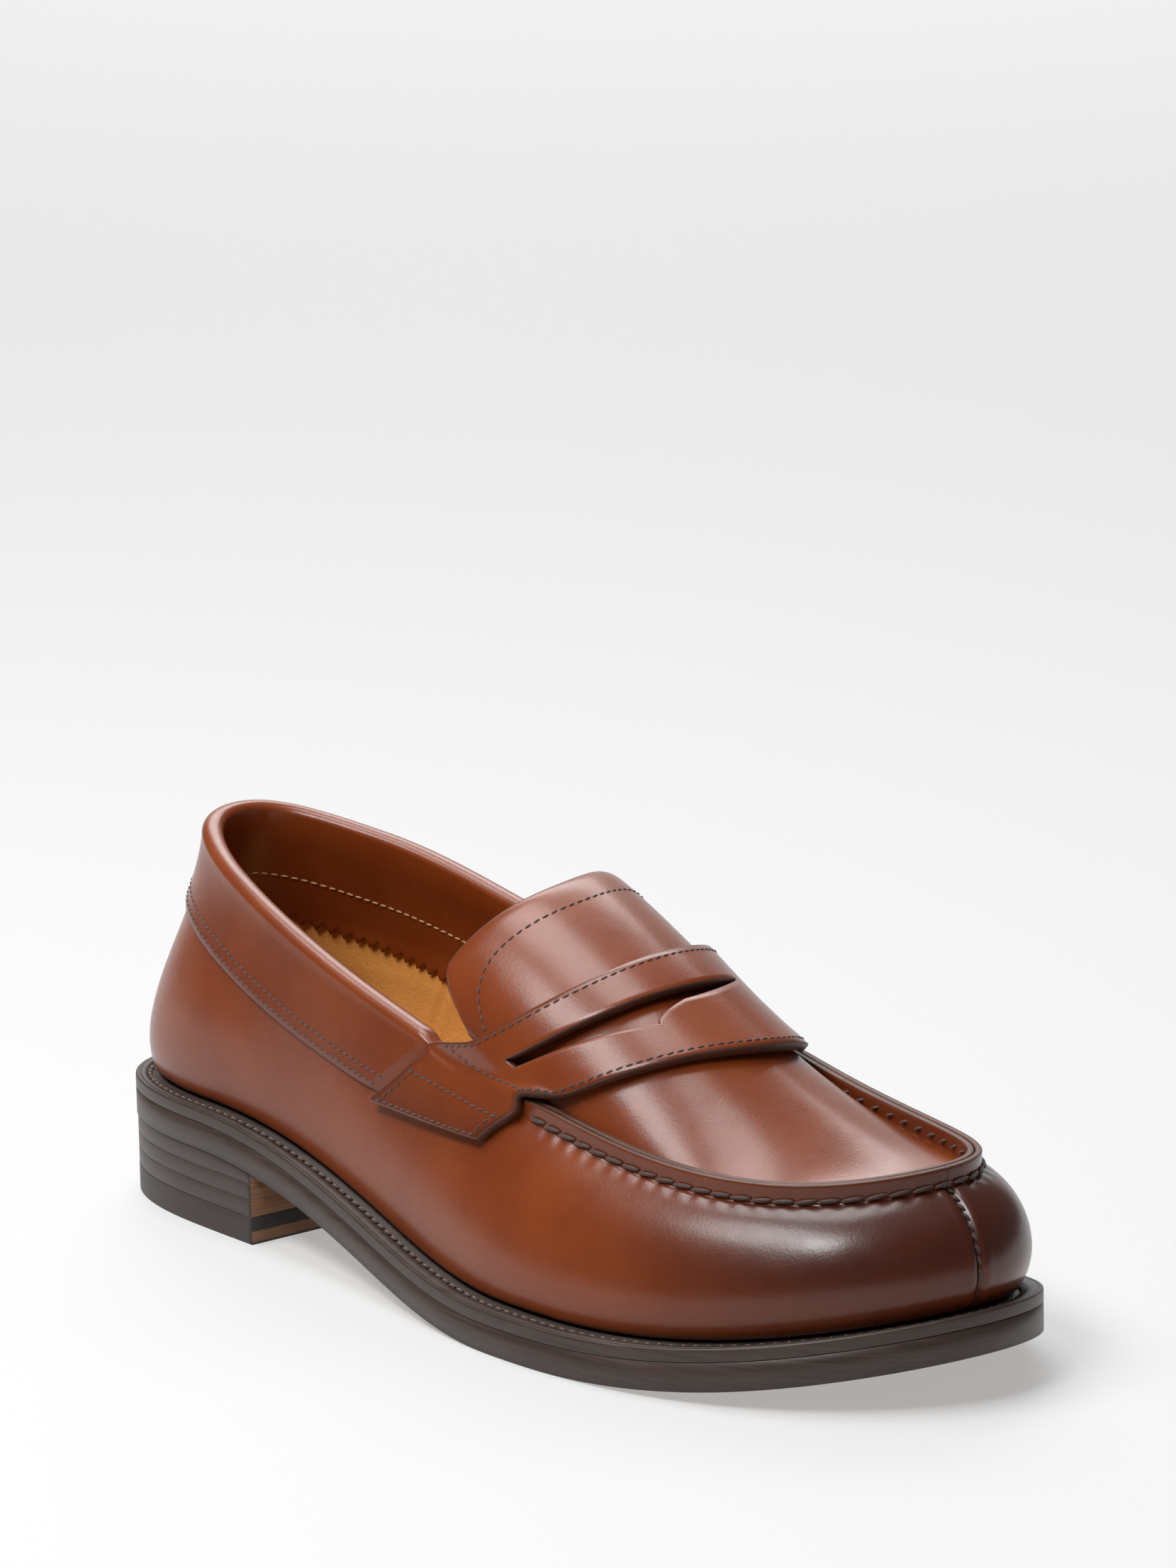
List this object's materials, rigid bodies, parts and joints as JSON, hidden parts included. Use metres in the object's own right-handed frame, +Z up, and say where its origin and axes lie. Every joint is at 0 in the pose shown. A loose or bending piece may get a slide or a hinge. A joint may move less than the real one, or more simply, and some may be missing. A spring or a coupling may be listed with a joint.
{
  "type": "penny loafer",
  "caption": "Right-foot slip-on leather shoe with a raised apron seam, slotted saddle strap, flexing tongue, stitched all-round welt and stacked heel.",
  "frame": {"origin": "on the ground, under the middle of the shoe's bounding box", "axes": "+X from heel to toe, +Y to the wearer's left (inner side of this right shoe), +Z up"},
  "size_m": [0.2978, 0.1074, 0.0991],
  "materials": {
    "upper_leather": "polished cognac calf, darkened at the toe",
    "lining_leather": "tan suede lining",
    "sock_leather": "smooth yellow-tan leather",
    "fibre_board": "raw leather board",
    "cork": "granulated cork",
    "shank_steel": "brushed",
    "sole_leather": "dark stained and waxed edge",
    "lift_leather": "dark stained stacked leather",
    "heel_rubber": "matt dark rubber",
    "nail_brass": "dull brass",
    "thread": "waxed thread"
  },
  "bodies": {
    "shoe": {"side_panel_lateral": "upper_leather", "side_panel_medial": "upper_leather", "apron": "upper_leather", "saddle_strap": "upper_leather", "collar": "upper_leather", "quarter_lining_lateral": "lining_leather", "quarter_lining_medial": "lining_leather", "vamp_lining": "lining_leather", "heel_counter": "fibre_board", "toe_puff": "fibre_board", "insole": "fibre_board", "sock_liner": "sock_leather", "insole_rib": "fibre_board", "cork_filler": "cork", "shank": "shank_steel", "welt": "sole_leather", "outsole": "sole_leather", "heel_lift_1": "lift_leather", "heel_lift_2": "lift_leather", "heel_lift_3": "lift_leather", "top_piece": "heel_rubber", "heel_nail_1": "nail_brass", "heel_nail_2": "nail_brass", "heel_nail_3": "nail_brass", "heel_nail_4": "nail_brass", "heel_nail_5": "nail_brass", "apron_thread": "thread", "welt_thread": "thread"},
    "tongue": {"tongue": "upper_leather", "tongue_lining": "lining_leather"}
  },
  "joints": [
    {"name": "tongue_flex", "type": "hinge", "parent": "shoe", "child": "tongue", "pos_m": [0.034, 0, 0.0845], "axis": [0, 1, 0], "range_deg": [0, 15], "stiffness_Nm_per_rad": 0.15}
  ]
}
